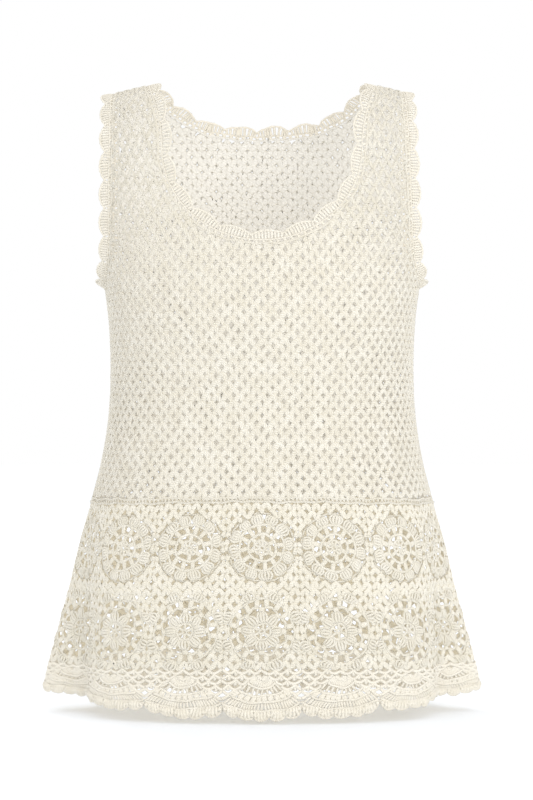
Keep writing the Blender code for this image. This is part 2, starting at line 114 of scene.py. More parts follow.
# The net of the two panels.
MESHES_ROUND = 80             # net meshes round the body
NET_ROW = 0.0066              # height of a net row
MESH_POINTS = 6               # points of a strand in one mesh
NET_WIDE = 0.00285            # half width of a strand at the front's centre
NET_WAVE = 0.34               # height of a strand's wave, as a share of its row
NET_KNOT = 0.24               # how much wider a strand is where it meets the next row
BACK_CLOSER = 1.28            # the back's net is worked closer, with wider and flatter strands
CROSS_LIFT = 0.0003           # how far strands part where two rows meet
STRETCH_START = -0.200        # above it the front's rows grow taller, up to the straps
STRETCH_END = -0.090
SLIM_START = 0.06             # strands get slimmer from here towards the sides, over this width
SLIM_SPREAD = 0.09
SLIM_RISE = 0.06              # and over this height from the chest up to the straps
PanelNet = namedtuple("PanelNet", "wide thick strap_stretch side_slim strap_slim")
FRONT_NET = PanelNet(NET_WIDE, 0.0011, 0.38, 0.24, 0.20)
BACK_NET = PanelNet(NET_WIDE * BACK_CLOSER, 0.00085, 0.0, 0.10, 0.05)

# Slow drift of hand-made cloth: waves in whole numbers round the girth.
UNEVEN = 0.00045
Wave = namedtuple("Wave", "turns rise phase size")
SIDEWAYS_WAVES = (Wave(17, 95.0, 1.0, 1.0), Wave(29, -210.0, 4.0, 1.0), Wave(47, 330.0, 0.0, 0.8))
UPWARD_WAVES = (Wave(13, 150.0, 2.0, 1.0), Wave(31, 70.0, 5.0, 1.0), Wave(53, -280.0, 3.0, 0.8))


def eased(height, heights, values):
    """Smooth curve through table rows: a cubic between neighbours, with averaged slopes."""
    slopes = np.gradient(values, heights)
    row = np.clip(np.searchsorted(heights, height) - 1, 0, len(heights) - 2)
    step = heights[row + 1] - heights[row]
    part = np.clip((height - heights[row]) / step, 0.0, 1.0)
    keep = 1.0 - part
    start = keep * keep * ((1.0 + 2.0 * part) * values[row] + part * step * slopes[row])
    end = part * part * ((1.0 + 2.0 * keep) * values[row + 1] - keep * step * slopes[row + 1])
    return start + end


def round_point(turn_angle, height):
    """Point of the body's round: a squarish ellipse, with one fold and two troughs at each side."""
    table = np.array(SECTIONS)
    half_width, front_depth, back_depth, side_fold = (
        eased(height, table[:, 0], table[:, column]) for column in range(1, 5))
    depth = np.where(np.abs(turn_angle) < math.pi / 2, front_depth, back_depth)
    fuller = 1.0 - SQUARENESS
    x = half_width * (np.sin(turn_angle) + SQUARENESS * np.sin(3.0 * turn_angle)) / fuller
    y = -depth * (np.cos(turn_angle) - SQUARENESS * np.cos(3.0 * turn_angle)) / fuller
    from_side = (np.abs(turn_angle) - math.pi / 2) / FOLD_SPREAD
    fold = side_fold * (1.0 - FOLD_TROUGH * from_side ** 2) * np.exp(-from_side ** 2)
    return x + fold * np.sin(turn_angle), y - fold * np.cos(turn_angle)


TABLE_HEIGHTS = np.linspace(SECTIONS[0].height, ROLL_START, 60)
TABLE_TURNS = np.linspace(-0.5, 0.5, 721)
ROUND_ANGLES = np.linspace(-math.pi, math.pi, 1441)


def even_turn_table():
    """Angles that part each half of a round, front or back, into even lengths, height by height."""
    rows = []
    for height in TABLE_HEIGHTS:
        x, y = round_point(ROUND_ANGLES, np.full(ROUND_ANGLES.shape, height))
        run = np.concatenate([[0.0], np.cumsum(np.hypot(np.diff(x), np.diff(y)))])
        seams = np.interp([-math.pi, -math.pi / 2, math.pi / 2, math.pi], ROUND_ANGLES, run)
        share = np.interp(run, seams, [-0.5, -0.25, 0.25, 0.5])
        rows.append(np.interp(TABLE_TURNS, share, ROUND_ANGLES))
    return np.array(rows)


TABLE_ANGLES = even_turn_table()


def angle_at(turn, height):
    """Angle about the body at a share of the round, -0.5 to 0.5, between the four nearest entries."""
    row = np.interp(height, TABLE_HEIGHTS, np.arange(len(TABLE_HEIGHTS)))
    column = np.interp(turn, TABLE_TURNS, np.arange(len(TABLE_TURNS)))
    low_row = np.clip(row.astype(int), 0, len(TABLE_HEIGHTS) - 2)
    low_column = np.clip(column.astype(int), 0, len(TABLE_TURNS) - 2)
    up = row - low_row
    over = column - low_column
    low = TABLE_ANGLES[low_row, low_column] * (1 - over)
    low = low + TABLE_ANGLES[low_row, low_column + 1] * over
    high = TABLE_ANGLES[low_row + 1, low_column] * (1 - over)
    high = high + TABLE_ANGLES[low_row + 1, low_column + 1] * over
    return low * (1 - up) + high * up


def shoulder_height(x):
    """Height of the shoulder line, level and then sloping down."""
    return -SHOULDER_SLOPE * np.maximum(np.abs(x) - SHOULDER_TOP_X, 0.0)


def body_point(across, height):
    """Point of the cloth's middle: across is metres round the flat girth from the front's centre.

    Below ROLL_START height is the real height. Above it, height is measured along the cloth as a
    quarter turn that ends on the shoulder line.
    """
    turn = (across / GIRTH + 0.5) % 1.0 - 0.5
    level = np.minimum(height, ROLL_START)
    x, y = round_point(angle_at(turn, level), level)
    roll = np.maximum(height - ROLL_START, 0.0) / ROLL_LENGTH * math.pi / 2
    z = level + (shoulder_height(x) - ROLL_START) * np.sin(roll)
    return np.stack([x, y * np.cos(roll), z], axis=-1)


def unit(vectors):
    """Vectors of length one."""
    return vectors / np.maximum(np.linalg.norm(vectors, axis=-1, keepdims=True), 1e-12)


def body_frame(across, height):
    """Point of the cloth's middle and the direction that points out of the body there."""
    step = 0.0005
    along = body_point(across + step, height) - body_point(across - step, height)
    upward = body_point(across, height + step) - body_point(across, height - step)
    return body_point(across, height), unit(np.cross(along, upward))


def across_at(x, height, back):
    """Flat distance from a panel's centre to a given width x."""
    shares = np.linspace(0.0, 0.25, 400)
    turns = 0.5 - shares if back else shares
    levels = np.full(shares.shape, min(height, ROLL_START))
    widths, _ = round_point(angle_at(turns, levels), levels)
    return GIRTH * float(np.interp(x, widths, shares))


def height_along(x, z):
    """Height measured along the cloth for a real height z at the width x."""
    if z <= ROLL_START:
        return z
    crest = float(shoulder_height(x)) - ROLL_START
    return ROLL_START + ROLL_LENGTH * math.asin(min((z - ROLL_START) / crest, 1.0)) * 2.0 / math.pi


def neck_path(back):
    """Right half of the neckline as flat points, from the shoulder to the panel's centre."""
    if back:
        x = np.linspace(NECK_X, 0.0, 60)
        z = -BACK_NECK_DROP * (1.0 - (x / NECK_X) ** BACK_NECK_POWER)
    else:
        share = np.linspace(0.0, 1.0, 24, endpoint=False)
        turn = np.linspace(0.0, math.pi / 2, 48)
        start = shoulder_height(NECK_X)
        x = np.concatenate([NECK_X + (FRONT_NECK_X - NECK_X) * np.sin(share * math.pi / 2),
                            FRONT_NECK_X * np.cos(turn)])
        z = np.concatenate([start + (FRONT_NECK_TURN - start) * share,
                            FRONT_NECK_TURN - FRONT_NECK_DROP * np.sin(turn)])
    heights = [height_along(a, b) for a, b in zip(x, z)]
    flat = np.array([(across_at(a, height, back), height) for a, height in zip(x, heights)])
    flat[0, 1] = SHOULDER_LINE
    return flat


def arm_path(back, side):
    """Armhole as flat points of the +X side, from the underarm's seam up to the shoulder."""
    armhole = ARMHOLES[side]
    seam = GIRTH / 4
    turn_across = across_at(armhole.chest_x, ARM_TURN, back)
    turn = np.linspace(0.0, math.pi / 2, 40, endpoint=False)
    low = np.stack([seam - (seam - turn_across) * np.sin(turn),
                    ARM_TURN - (ARM_TURN - UNDERARM) * np.cos(turn)], 1)
    heights = np.linspace(ARM_TURN, SHOULDER_LINE, 50)
    share = (heights - ARM_TURN) / (SHOULDER_LINE - ARM_TURN)
    x = armhole.chest_x + (armhole.shoulder_x - armhole.chest_x) * share
    high = np.array([(across_at(a, height, back), height) for a, height in zip(x, heights)])
    return np.concatenate([low, high])


def side_share(turn):
    """0 at the front's and back's centres, 1 at the side seams."""
    return np.sin(2.0 * math.pi * turn) ** 2


def waved(waves, turn, height):
    """Sum of waves, each its size times the sine of its turns, its rise with height and its phase."""
    return sum(wave.size * np.sin(wave.turns * turn + wave.rise * height + wave.phase)
               for wave in waves)


def uneven(across, height):
    """Flat points moved by the slow drift, which closes round the girth."""
    turn = across / GIRTH * 2.0 * math.pi
    return (across + UNEVEN * waved(SIDEWAYS_WAVES, turn, height),
            height + UNEVEN * waved(UPWARD_WAVES, turn, height))


# A strand is one yarn, or a pair side by side, with a profile of points (sideways, outward).
Strand = namedtuple("Strand", "flat wide thick closed profile")
YARN_CORNERS = [math.radians(angle) for angle in range(18, 378, 72)]
ROUND_YARN = tuple((math.cos(angle), math.sin(angle)) for angle in YARN_CORNERS)
PAIR_OF_YARNS = ((1.0, 0.0), (0.62, 0.95), (0.0, 0.45), (-0.62, 0.95), (-1.0, 0.0),
                 (-0.5, -0.9), (0.5, -0.9))
INNER_AT_MIDDLE = 0.3         # how far a yarn's middle has the painted shade and painted glow of its inner side
INNER_TO_FACE = 0.9           # and how much of that is lost from the middle to its outer face
CENTIMETRES = 100.0           # the yarn map's unit of length, in one metre


def strand(across, height, lift=0.0, wide=YARN_WIDE, thick=YARN_THICK, closed=False,
           profile=ROUND_YARN):
    """Strand through flat points; lift, wide and thick are one number or one for each point."""
    across, height = np.broadcast_arrays(across, height)
    count = len(across)
    flat = np.stack([across, height, np.broadcast_to(lift, count)], 1)
    wide = np.broadcast_to(wide, count)
    thick = np.broadcast_to(thick, count)
    return Strand(flat, wide, thick, closed, profile)


def laid(strands):
    """Joins the strands of each profile to long arrays, with each point's neighbours and the faces.

    A closed strand's last point is followed by its first. An open one has a cap at each end.
    """
    bundles = []
    for profile in (ROUND_YARN, PAIR_OF_YARNS):
        same = [item for item in strands if item.profile is profile]
        if not same:
            continue
        counts = np.array([len(item.flat) for item in same])
        first = np.concatenate([[0], np.cumsum(counts)[:-1]])
        last = first + counts - 1
        closed = np.array([item.closed for item in same])
        index = np.arange(counts.sum())
        after = index + 1
        before = index - 1
        after[last] = np.where(closed, first, last)
        before[first] = np.where(closed, last, first)
        linked = index[after != index]
        sides = len(profile)
        corner = np.arange(sides)
        ahead = (corner + 1) % sides
        here = linked[:, None] * sides
        there = after[linked][:, None] * sides
        quads = np.stack([here + corner, there + corner, there + ahead, here + ahead], -1)
        starts = first[~closed][:, None] * sides + corner
        ends = last[~closed][:, None] * sides + corner[::-1]
        bundles.append({
            "profile": np.array(profile),
            "flat": np.concatenate([item.flat for item in same]),
            "wide": np.concatenate([item.wide for item in same]),
            "thick": np.concatenate([item.thick for item in same]),
            "before": before, "after": after, "linked": linked,
            "first": first, "counts": counts,
            "quads": quads.reshape(-1, 4), "caps": np.concatenate([starts, ends])})
    return bundles


def tubes(bundle, place, random, fuller):
    """Corners of a bundle's tubes, and their yarn map.

    A tube's corner is the strand's point plus the profile's sideways and outward parts. The map
    holds the length along each strand, in centimetres, and the share of the way round it.
    """
    flat, profile, linked = bundle["flat"], bundle["profile"], bundle["linked"]
    middle, outward = place(flat[:, 0], flat[:, 1])
    middle = middle + outward * flat[:, 2:3]
    along = unit(middle[bundle["after"]] - middle[bundle["before"]])
    sideways = unit(np.cross(along, outward))
    outward = np.cross(sideways, along)
    wander = 1.0 + SIZE_UNEVEN * random.standard_normal(len(flat))[:, None]
    wide = bundle["wide"][:, None] * fuller * wander * profile[:, 0]
    thick = bundle["thick"][:, None] / fuller * wander * profile[:, 1]
    corners = middle[:, None] + sideways[:, None] * wide[..., None]
    corners = corners + outward[:, None] * thick[..., None]
    sides = len(profile)
    steps = np.linalg.norm(middle - middle[bundle["before"]], axis=1)
    steps[bundle["first"]] = 0.0
    run = np.cumsum(steps)
    run = (run - np.repeat(run[bundle["first"]], bundle["counts"])) * CENTIMETRES
    gap = np.linalg.norm(middle[bundle["after"][linked]] - middle[linked], axis=1) * CENTIMETRES
    start = np.repeat(run[linked], sides)
    end = start + np.repeat(gap, sides)
    low = np.tile(np.arange(sides) / sides, len(linked))
    high = low + 1.0 / sides
    quad_map = np.stack([start, low, end, low, end, high, start, high], 1).reshape(-1, 2)
    return corners, quad_map


def yarn_mesh(name, place, bundles, random, fuller=1.0):
    """Mesh of all strands, as tubes with a profile square to the strand.

    place turns flat across and height into a point and an outward direction. The inner_side
    attribute is 1 on the side of a yarn that faces into the body and 0 on its outer face; the
    finishes paint shade and a glow on that side.
    """
    points, corners, sizes, maps, inner = [], [], [], [], []
    base = 0
    for bundle in bundles:
        tube_points, quad_map = tubes(bundle, place, random, fuller)
        count, sides = tube_points.shape[:2]
        quads, caps = bundle["quads"], bundle["caps"]
        # share of painted shade and painted glow at each corner of the profile, most on its inner side
        toward_body = INNER_AT_MIDDLE - INNER_TO_FACE * bundle["profile"][:, 1]
        points.append(tube_points.reshape(-1, 3))
        inner.append(np.tile(np.clip(toward_body, 0.0, 1.0), count))
        corners += [(quads + base).ravel(), (caps + base).ravel()]
        sizes += [np.full(len(quads), 4), np.full(len(caps), sides)]
        maps += [quad_map, np.zeros((caps.size, 2))]
        base += count * sides
    points = np.concatenate(points)
    corners = np.concatenate(corners)
    sizes = np.concatenate(sizes)
    starts = np.concatenate([[0], np.cumsum(sizes)[:-1]])
    mesh = bpy.data.meshes.new(name)
    mesh.vertices.add(len(points))
    mesh.vertices.foreach_set("co", points.ravel())
    mesh.loops.add(len(corners))
    mesh.loops.foreach_set("vertex_index", corners.astype(np.int32))
    mesh.polygons.add(len(sizes))
    mesh.polygons.foreach_set("loop_start", starts.astype(np.int32))
    mesh.uv_layers.new(name="yarn").data.foreach_set("uv", np.concatenate(maps).ravel())
    # Mask for the painted shade and painted glow on the yarns' inner side.
    shade = mesh.attributes.new("inner_side", "FLOAT", "POINT")
    shade.data.foreach_set("value", np.concatenate(inner))
    mesh.update(calc_edges=True)
    mesh.shade_smooth()
    item = bpy.data.objects.new(name, mesh)
    bpy.context.collection.objects.link(item)
    return item


def evenly(rows, count, measured=None):
    """The same open path with count + 1 rows, evenly far apart by its first measured columns."""
    steps = np.linalg.norm(np.diff(rows[:, :measured], axis=0), axis=1)
    run = np.concatenate([[0.0], np.cumsum(steps)])
    places = np.linspace(0.0, run[-1], count + 1)
    return np.stack([np.interp(places, run, column) for column in rows.T], 1)


def inside_loop(across, height, loop):
    """True where a flat point lies inside the loop, by counting crossings."""
    crossings = np.zeros(across.shape, dtype=int)
    for (x0, y0), (x1, y1) in zip(loop, np.roll(loop, -1, axis=0)):
        if y1 != y0:
            spans = (y0 > height) != (y1 > height)
            crossings += spans & (across < x0 + (height - y0) * (x1 - x0) / (y1 - y0))
    return crossings % 2 == 1


def runs_of(kept):
    """First and last index of each unbroken run of kept points that holds at least three."""
    edges = np.flatnonzero(np.diff(np.concatenate([[0], kept.astype(int), [0]])))
    return [(a, b) for a, b in zip(edges[::2], edges[1::2]) if b - a > 2]


def net_rows(rows, left, right, mesh, keep, wide, thick, slim=None):
    """Waved strands, one for each row of a net.

    A strand's height is its row's level, plus a share of the row's height times the cosine of the
    way through a mesh. Every other row starts half a mesh on, so that one row's crests meet the
    next one's dips. keep says what stays, and slim what share of its width a strand has there.
    """
    strands = []
    count = int(round((right - left) / mesh)) * MESH_POINTS
    across = left + np.arange(count + 1) * mesh / MESH_POINTS
    for number, (level, above) in enumerate(zip(rows[:-1], rows[1:])):
        wave = np.cos(2.0 * math.pi * across / mesh + math.pi * number)
        height = level + (above - level) * NET_WAVE * wave
        knotted = wide * (1.0 + NET_KNOT * wave ** 2)
        if slim is not None:
            knotted = knotted * slim(across, height)
        for a, b in runs_of(keep(across, height)):
            strands.append(strand(across[a:b], height[a:b], CROSS_LIFT * wave[a:b],
                                  knotted[a:b], thick, profile=PAIR_OF_YARNS))
    return strands


# The net panels, with a strand along each edge and a ridged seam at the waist.
FIRST_ROW = WAIST + 0.0075
EDGE_WIDE = 0.0014            # strand along the neckline and the armholes
EDGE_THICK = 0.0012
SEAM_IN = 0.001               # side seam: how far it keeps from the panel's side
SEAM_WIDE = 0.0016
SEAM_THICK = 0.0013
RIDGE_LOW = 0.0016            # waist seam: heights of its two rounds above the waist
RIDGE_HIGH = 0.0056
RIDGE_STITCHES = 120
RIDGE_YARN = 0.0011


def panel_outline(back):
    """Closed outline of a net panel: waist, side seams, armholes and neckline."""
    waist_turn = np.linspace(0.0, 0.25, 30)
    waist = np.stack([waist_turn * GIRTH, WAIST - SIDE_DROP * side_share(waist_turn)], 1)
    neck = neck_path(back)
    plus = np.concatenate([waist, arm_path(back, 1), neck])
    minus = np.concatenate([waist, arm_path(back, -1), neck])[1:-1][::-1] * (-1.0, 1.0)
    return np.concatenate([plus, minus])


def panel_rows(stretch):
    """Heights of a panel's rows, even up to the chest, then taller where the straps hang stretched.

    The stretch comes in as a smooth step, three times the square less twice the cube of the way up.
    """
    rows = [FIRST_ROW]
    while rows[-1] < SHOULDER_LINE + NET_ROW:
        up = min(max((rows[-1] - STRETCH_START) / (STRETCH_END - STRETCH_START), 0.0), 1.0)
        rows.append(rows[-1] + NET_ROW * (1.0 + stretch * up * up * (3.0 - 2.0 * up)))
    return rows


def panel_edges(back):
    """Strands along the neckline, the armholes and the side seams."""
    strands = []
    neck = neck_path(back)
    heights = np.linspace(WAIST - SIDE_DROP, UNDERARM, 60)
    for side in (1, -1):
        arm = evenly(arm_path(back, side) * (side, 1.0), 110)
        half_neck = evenly(neck, 60) * (side, 1.0)
        for edge in (arm, half_neck):
            strands.append(strand(*edge.T, wide=EDGE_WIDE, thick=EDGE_THICK))
        seam = np.full(60, side * (GIRTH / 4 - SEAM_IN))
        strands.append(strand(seam, heights, wide=SEAM_WIDE, thick=SEAM_THICK))
    return strands


def waist_seam():
    """Two rounds above the waist, the lower one swelling with each stitch, and posts between them."""
    count = 2 * RIDGE_STITCHES + 1
    across = np.linspace(-GIRTH / 4, GIRTH / 4, count)
    waist = WAIST - SIDE_DROP * side_share(across / GIRTH)
    stitch = 1.0 + 0.25 * np.cos(np.arange(count) * math.pi)
    strands = [strand(across, waist + RIDGE_LOW, 0.0006, RIDGE_YARN * stitch, SEAM_THICK * stitch),
               strand(across, waist + RIDGE_HIGH, 0.0002, RIDGE_YARN, RIDGE_YARN)]
    for foot in np.linspace(-GIRTH / 4 + 0.002, GIRTH / 4 - 0.002, RIDGE_STITCHES):
        level = WAIST - SIDE_DROP * side_share(foot / GIRTH)
        strands.append(strand(np.array([foot, foot + 0.0006, foot]),
                              level + np.array([0.0018, 0.0036, RIDGE_HIGH]), 0.0003, 0.0014))
    return strands


def net_panel(back):
    """Strands of a net panel: the net, slimmer towards the sides and straps, its edges and seam."""
    outline = panel_outline(back)
    style = BACK_NET if back else FRONT_NET

    def keep(across, height):
        return inside_loop(across, height, outline)

    def slim(across, height):
        aside = np.clip((np.abs(across) - SLIM_START) / SLIM_SPREAD, 0.0, 1.0)
        strap = np.clip((height - STRETCH_START) / SLIM_RISE, 0.0, 1.0) * aside
        return 1.0 - style.side_slim * aside - style.strap_slim * strap

    net = net_rows(panel_rows(style.strap_stretch), -GIRTH / 4, GIRTH / 4, GIRTH / MESHES_ROUND,
                   keep, style.wide, style.thick, slim)
    return net + panel_edges(back) + waist_seam()


# Round motifs, drawn about their own centre, from the middle out.
HALF_TWELFTH = math.radians(15.0)
HALF_EIGHTH = math.radians(22.5)
Round = namedtuple("Round", "radius stitches lift wide thick lobes lobe",
                   defaults=(0.0, YARN_WIDE, YARN_THICK, 0, 0.0))
Posts = namedtuple("Posts", "count inner outer first wide thick profile",
                   defaults=(0.0, YARN_WIDE, YARN_THICK, ROUND_YARN))
Petals = namedtuple("Petals", "count inner outer half threads first lift", defaults=(0.0, 0.0012))
MotifNet = namedtuple("MotifNet", "radius meshes rows")
WHEEL = (
    Round(0.0024, 6),
    Round(0.0072, 10),
    Round(0.0134, 18, 0.0003, 0.0013),
    Round(0.0218, 26, 0.0002, 0.0013),
    Posts(9, 0.0028, 0.0070),
    Posts(6, 0.0074, 0.0132, 0.0, 0.0019, 0.0009, PAIR_OF_YARNS),
    Posts(12, 0.0138, 0.0216, HALF_TWELFTH, 0.0020, 0.0009, PAIR_OF_YARNS),
    Petals(12, 0.0222, 0.0310, 0.0055, 5, HALF_TWELFTH),
    Round(0.0318, 34, -0.0008, 0.0010),
)
WHEEL_NET = MotifNet(0.0318, 7, 12)
FLOWER = (
    Round(0.0024, 6),
    Round(0.0080, 12),
    Round(0.0304, 34),
    Round(0.0224, 24, -0.0004, 0.0015, 0.0008, 8, -0.0016),
    Posts(6, 0.0028, 0.0078, wide=0.0014),
    Petals(8, 0.0084, 0.0186, 0.0043, 4, 0.0, 0.0018),
    Posts(8, 0.0184, 0.0222, 0.0, 0.0024, 0.0011, PAIR_OF_YARNS),
    Posts(16, 0.0228, 0.0300, HALF_EIGHTH / 2, 0.0023, 0.0009, PAIR_OF_YARNS),
    Petals(8, 0.0308, 0.0385, 0.0048, 4, HALF_EIGHTH, 0.0014),
)
FLOWER_NET = MotifNet(0.0306, 7, 11)
MOTIF_NET_WIDE = 0.0023
MOTIF_NET_THICK = 0.0008
PETAL_POINTS = 6


def ring(row):
    """Closed round of chain stitches: a circle whose width swells and shrinks with each stitch.

    With lobes, its radius also goes out and in by the lobe's size times the cosine of the lobes.
    """
    turn = 2.0 * math.pi * np.arange(2 * row.stitches) / (2 * row.stitches)
    swell = 1.0 + 0.22 * np.cos(row.stitches * turn)
    reach = row.radius + row.lobe * np.cos(row.lobes * turn)
    return strand(reach * np.sin(turn), reach * np.cos(turn), row.lift,
                  row.wide * swell, row.thick * swell, True)


def posts(row):
    """Straight posts along the radius, evenly round the centre."""
    reach = np.linspace(row.inner, row.outer, 4)
    turns = row.first + 2.0 * math.pi * np.arange(row.count) / row.count
    return [strand(reach * math.sin(turn), reach * math.cos(turn), wide=row.wide, thick=row.thick,
                   profile=row.profile) for turn in turns]


def petals(row):
    """Petals or puffs: threads that leave one foot, part to half a width at mid length and meet.

    A thread stands off sideways by the half width times its own share and a flat-topped sine of
    the way along it, and lifts off by the sine of that way, less for the outer threads.
    """
    way = np.linspace(0.0, 1.0, PETAL_POINTS)
    reach = row.inner + (row.outer - row.inner) * way
    bulge = np.sin(math.pi * np.clip(0.06 + 0.88 * way, 0.0, 1.0)) ** 0.6
    strands = []
    for turn in row.first + 2.0 * math.pi * np.arange(row.count) / row.count:
        for share in np.linspace(-1.0, 1.0, row.threads):
            side = row.half * share * bulge
            across = reach * math.sin(turn) + side * math.cos(turn)
            height = reach * math.cos(turn) - side * math.sin(turn)
            rise = row.lift * np.sin(math.pi * way) * (1.0 - 0.35 * share * share)
            strands.append(strand(across, height, rise))
    return strands


def round_motif(rows, net, pitch, centre, top, bottom):
    """Motif of rounds, posts and petals about its centre, squared off with net outside its radius."""
    strands = []
    for row in rows:
        if isinstance(row, Round):
            strands.append(ring(row))
        elif isinstance(row, Posts):
            strands += posts(row)
        else:
            strands += petals(row)
    strands = [item._replace(flat=item.flat + (0.0, centre, 0.0)) for item in strands]

    def keep(across, height):
        return np.hypot(across, height - centre) > net.radius

    levels = bottom + (np.arange(net.rows + 1) + 0.5) * (top - bottom) / net.rows
    strands += net_rows(levels, -pitch / 2, pitch / 2, pitch / net.meshes, keep,
                        MOTIF_NET_WIDE, MOTIF_NET_THICK)
    return laid(strands)


# Hem: rows of arches, and a fan of five shells under each lower motif.
ARCHES = 6                    # arches across a hem piece
ARCH_PITCH = LOWER_PITCH / ARCHES
ARCH_POINTS = 8               # points of a strand in one arch
ARCH_ROWS = 7
ARCH_TOP = EDGING_TOP - 0.0006
ARCH_ROW = 0.0050             # height of a row of arches
ARCH_DEPTH = 0.0036
POST_LENGTH = 0.0055          # post between two arches, down to the next row
FAN_TOP = EDGING_TOP - 0.0075
FAN_ROOT = 0.0060             # radius of the fan's round top
FAN_END = HEM + 0.0105        # where its shells start
FAN_HALF = LOWER_PITCH / 2 - 0.0006
FAN_TURN = math.radians(95.0)  # how far its round top goes round to each side
FAN_EYE_TURN = math.radians(88.0)
FAN_SIDE = 0.97               # outermost post, as a share of the half width
SHELL_HALF = 1.0 / FAN_SHELLS  # half width of a shell, as a share of the fan's half width
SHELL_NOTCH = 0.0060          # how far the rim goes in between shells; the yarn's width fills half
SHELL_RIM = HEM + 0.0010
RIM_POINTS = 17
THREAD_POINTS = 7


def hem_arc(share):
    """How far the hem rises from the fan's middle to its side, as a round arc."""
    return FAN_NOTCH * (1.0 - np.sqrt(np.maximum(1.0 - share ** 2, 0.0)))


def fan_point(share, way):
    """Flat point of a fan: share is -1 to 1 across it, way 0 to 1 from its round top to the shells."""
    turn = share * FAN_TURN
    top_across = FAN_ROOT * np.sin(turn)
    top_height = FAN_TOP - FAN_ROOT * np.cos(turn)
    low_across = FAN_HALF * share
    low_height = FAN_END + hem_arc(share)
    return top_across * (1 - way) + low_across * way, top_height * (1 - way) + low_height * way


def fan_rays(count, start, end, **sizes):
    """Posts of a fan between two of its rounds."""
    way = np.linspace(start, end, 4)
    return [strand(*fan_point(np.full(4, share), way), **sizes)
            for share in np.linspace(-FAN_SIDE, FAN_SIDE, count)]


def fan_round(way, stitches, **sizes):
    """Round of chain stitches across a fan."""
    share = np.linspace(-1.0, 1.0, stitches * 2 + 1)
    return strand(*fan_point(share, np.full(len(share), way)), **sizes)


def shell(number):
    """One shell of the hem: threads from one foot to a round rim, and the rim itself."""
    centre = -1.0 + 2.0 * SHELL_HALF * (number + 0.5)
    across = FAN_HALF * centre
    foot = FAN_END + hem_arc(centre)
    rim = np.linspace(-1.0, 1.0, RIM_POINTS)
    rim_across = across + FAN_HALF * SHELL_HALF * rim
    depth = SHELL_NOTCH * (1.0 - np.sqrt(np.maximum(1.0 - rim ** 2, 0.0)))
    rim_height = SHELL_RIM + hem_arc(centre + rim * SHELL_HALF) + depth
    bumps = 1.0 + 0.25 * np.cos(np.arange(RIM_POINTS) * math.pi)
    strands = [strand(rim_across, rim_height, 0.0004, 0.0012 * bumps, 0.0009 * bumps)]
    way = np.linspace(0.0, 1.0, THREAD_POINTS)
    knots = 1.0 + 0.28 * np.cos(np.arange(THREAD_POINTS) * math.pi)
    for share in np.linspace(-0.86, 0.86, 5):
        tip_across = np.interp(share, rim, rim_across)
        tip_height = np.interp(share, rim, rim_height)
        start = across + FAN_HALF * SHELL_HALF * 0.80 * share
        strands.append(strand(start + (tip_across - start) * way, foot + (tip_height - foot) * way,
                              0.0014 * np.sin(math.pi * way), 0.0017 * knots, 0.0010 * knots))
    return strands


def arch_rows():
    """Rows of arches above and between the fans, each row half an arch on, with posts between."""
    strands = []
    points = np.arange(ARCHES * ARCH_POINTS + 1) * ARCH_PITCH / ARCH_POINTS - LOWER_PITCH / 2
    half = len(points) // 2
    side = np.clip((np.abs(points) - FAN_ROOT) / (FAN_HALF - FAN_ROOT), 0.0, 1.0)
    fan_edge = FAN_TOP + 0.0015 - side * (FAN_TOP - FAN_END - 0.0040)
    for number in range(ARCH_ROWS):
        top = ARCH_TOP - ARCH_ROW * number
        phase = points / ARCH_PITCH + 0.5 * (number % 2)
        height = top - ARCH_DEPTH * np.abs(np.sin(math.pi * phase))
        for a, b in runs_of(height > fan_edge):
            strands.append(strand(points[a:b], height[a:b], 0.0002, 0.0015, 0.0008))
        joins = np.arange(-ARCHES / 2, ARCHES / 2 + 0.5) * ARCH_PITCH
        joins = joins + (ARCH_PITCH / 2 if number % 2 else 0.0)
        for join in joins[np.abs(joins) < LOWER_PITCH / 2]:
            if top - POST_LENGTH > np.interp(abs(join), points[half:], fan_edge[half:]):
                levels = np.array([top, top - 0.0026, top - POST_LENGTH])
                strands.append(strand(np.full(3, join), levels, wide=0.0018, thick=0.0007))
    return strands


def hem_piece():
    """Arch rows, and the fan: its round top, four rows of posts between rounds, and its shells."""
    strands = arch_rows()
    for share in np.linspace(-1.0, 1.0, 7):
        turn = share * FAN_EYE_TURN
        reach = np.linspace(0.0008, FAN_ROOT, 3)
        strands.append(strand(reach * math.sin(turn), FAN_TOP - reach * math.cos(turn),
                              wide=0.0014))
    strands += fan_rays(15, 0.0, 0.20)
    strands.append(fan_round(0.0, 8))
    strands.append(fan_round(0.22, 11, lift=0.0004))
    strands += fan_rays(9, 0.22, 0.46, wide=0.0012)
    strands.append(fan_round(0.48, 15, lift=0.0004))
    strands += fan_rays(10, 0.50, 0.68, wide=0.0024, thick=0.0011, profile=PAIR_OF_YARNS)
    strands.append(fan_round(0.70, 18, lift=0.0004))
    strands += fan_rays(25, 0.72, 1.0)
    strands.append(fan_round(1.0, 24, lift=0.0005))
    for number in range(FAN_SHELLS):
        strands += shell(number)
    return laid(strands)


# Places on the body: each takes flat points and gives points of the cloth and outward directions.
TWIST_RADIUS = 0.034          # a motif is turned inside this radius, and level outside it
TWIST_FADE = 0.004
MOST_TWIST = 0.12             # largest turn of a motif, as hand-made ones sit


def placed_front(across, height):
    """Front panel's flat points on the body."""
    return body_frame(*uneven(across, height))


def placed_back(across, height):
    """Back panel's flat points on the body, seen from outside."""
    return body_frame(*uneven(GIRTH / 2 - across, height))


def placed_motif(column, pitch, centre, twist):
    """Placing for a motif: metres from its column's centre and a level height, the wheel turned."""
    def place(offset, level):
        up = level - centre
        turn = twist * np.clip((TWIST_RADIUS - np.hypot(offset, up)) / TWIST_FADE, 0.0, 1.0)
        turned = offset * np.cos(turn) + up * np.sin(turn)
        level = centre + up * np.cos(turn) - offset * np.sin(turn)
        across = GIRTH * (column / COLUMNS + turned / (COLUMNS * pitch))
        return body_frame(*uneven(across, level - SIDE_DROP * side_share(across / GIRTH)))
    return place


